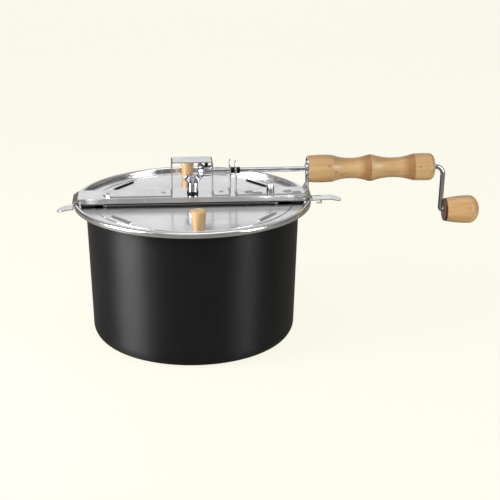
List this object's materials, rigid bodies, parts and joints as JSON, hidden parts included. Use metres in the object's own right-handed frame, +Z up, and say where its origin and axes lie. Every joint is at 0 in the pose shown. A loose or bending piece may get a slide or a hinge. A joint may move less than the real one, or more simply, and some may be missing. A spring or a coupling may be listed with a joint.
{
  "type": "stovetop popcorn popper",
  "caption": "Aluminium pot with a black coating, a lid with two hinged flaps, and a hand crank on a long turned handle that drives a stirring wire through mitre gears.",
  "frame": {"origin": "centre of the pot's underside, on the surface it stands on", "axes": "+Z up along the stirring shaft, +X along the handle towards the crank, -Y towards the front flap"},
  "size_m": [0.4367, 0.2414, 0.1881],
  "materials": {
    "pot_coating": "satin",
    "lid_metal": "polished",
    "bracket_metal": "polished",
    "rod_chrome": "bright",
    "gear_metal": "machined",
    "black_steel": "black oxide",
    "handle_wood": "clear varnish",
    "crank_knob_wood": "clear varnish",
    "flap_knob_wood": "clear varnish"
  },
  "bodies": {
    "pot": {"pot_body": "pot_coating"},
    "lid": {"lid_ring": "lid_metal", "crossbar": "lid_metal", "gear_bracket": "bracket_metal", "handle_bracket": "bracket_metal", "bracket_rivets": "bracket_metal", "bracket_bolt": "rod_chrome", "cap_nut": "rod_chrome", "handle_bush": "gear_metal", "handle_grip": "handle_wood", "handle_screws": "rod_chrome", "stir_bush": "black_steel", "front_hinge_pin": "rod_chrome", "rear_hinge_pin": "rod_chrome"},
    "crank": {"crank_shaft": "rod_chrome", "crank_gear": "gear_metal", "crank_gear_screw": "black_steel", "shaft_collars": "black_steel", "knob_washer": "rod_chrome"},
    "turning_knob": {"crank_knob": "crank_knob_wood", "knob_pin": "rod_chrome"},
    "stirrer": {"stir_shaft": "rod_chrome", "stir_gear": "gear_metal", "stir_gear_screw": "black_steel", "stir_shaft_clip": "black_steel", "stirrer_wire": "rod_chrome"},
    "front_half_lid": {"front_flap": "lid_metal", "front_flap_knob": "flap_knob_wood", "front_knob_screw": "rod_chrome"},
    "rear_half_lid": {"rear_flap": "lid_metal", "rear_flap_knob": "flap_knob_wood", "rear_knob_screw": "rod_chrome"},
    "left_clip": {"left_lid_clip": "lid_metal"},
    "right_clip": {"right_lid_clip": "lid_metal"}
  },
  "joints": [
    {"name": "lid_lift", "type": "slide", "parent": "pot", "child": "lid", "axis": [0, 0, 1], "range_m": [0, 0.16]},
    {"name": "front_flap_hinge", "type": "hinge", "parent": "lid", "child": "front_half_lid", "pos_m": [0, -0.0172, 0.1431], "axis": [-1, 0, 0], "range_deg": [0, 85]},
    {"name": "rear_flap_hinge", "type": "hinge", "parent": "lid", "child": "rear_half_lid", "pos_m": [0, 0.0172, 0.1431], "axis": [1, 0, 0], "range_deg": [0, 85]},
    {"name": "left_clip_slide", "type": "slide", "parent": "lid", "child": "left_clip", "axis": [-1, 0, 0], "range_m": [-0.004, 0.015]},
    {"name": "right_clip_slide", "type": "slide", "parent": "lid", "child": "right_clip", "axis": [1, 0, 0], "range_m": [-0.019, 0]},
    {"name": "crank_spin", "type": "hinge", "parent": "lid", "child": "crank", "pos_m": [0, 0, 0.1739], "axis": [1, 0, 0], "continuous": true},
    {"name": "crank_knob_spin", "type": "hinge", "parent": "crank", "child": "turning_knob", "pos_m": [0.275, 0, 0.1272], "axis": [1, 0, 0], "continuous": true},
    {"name": "stir_spin", "type": "hinge", "parent": "lid", "child": "stirrer", "pos_m": [0, 0, 0.09], "axis": [0, 0, 1], "continuous": true}
  ],
  "couplings": [
    {"joint": "stir_spin", "follows": "crank_spin", "ratio": 1}
  ]
}
